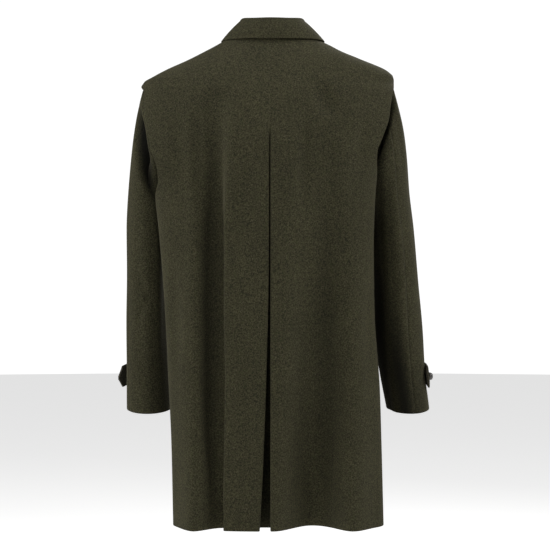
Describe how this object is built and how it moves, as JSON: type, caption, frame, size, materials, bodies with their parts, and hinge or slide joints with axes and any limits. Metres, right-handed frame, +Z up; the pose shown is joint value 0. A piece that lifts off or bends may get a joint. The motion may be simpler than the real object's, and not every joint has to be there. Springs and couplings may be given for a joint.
{
  "type": "overcoat",
  "caption": "Knee-length wool overcoat with a turned-down collar, open-backed armholes, strapped cuffs and an inverted pleat down the back, filled out as if worn.",
  "frame": {"origin": "middle of the neck opening, at the level of the neck seam", "axes": "+Z up along the body, +Y towards the wearer's front, -X towards the wearer's left"},
  "size_m": [0.6395, 0.3005, 1.0016],
  "materials": {
    "loden": "fulled, napped wool",
    "button": "satin, horn-like"
  },
  "bodies": {
    "root": {"back_left": "loden", "back_right": "loden", "pleat_underlay": "loden", "front_left": "loden", "front_right": "loden", "collar": "loden", "sleeve_top_left": "loden", "sleeve_under_left": "loden", "sleeve_top_right": "loden", "sleeve_under_right": "loden", "cuff_tab_left": "loden", "cuff_tab_right": "loden", "cuff_button_left": "button", "cuff_button_right": "button", "front_button_1": "button", "front_button_2": "button", "front_button_3": "button", "front_button_4": "button", "front_button_5": "button"}
  },
  "joints": []
}
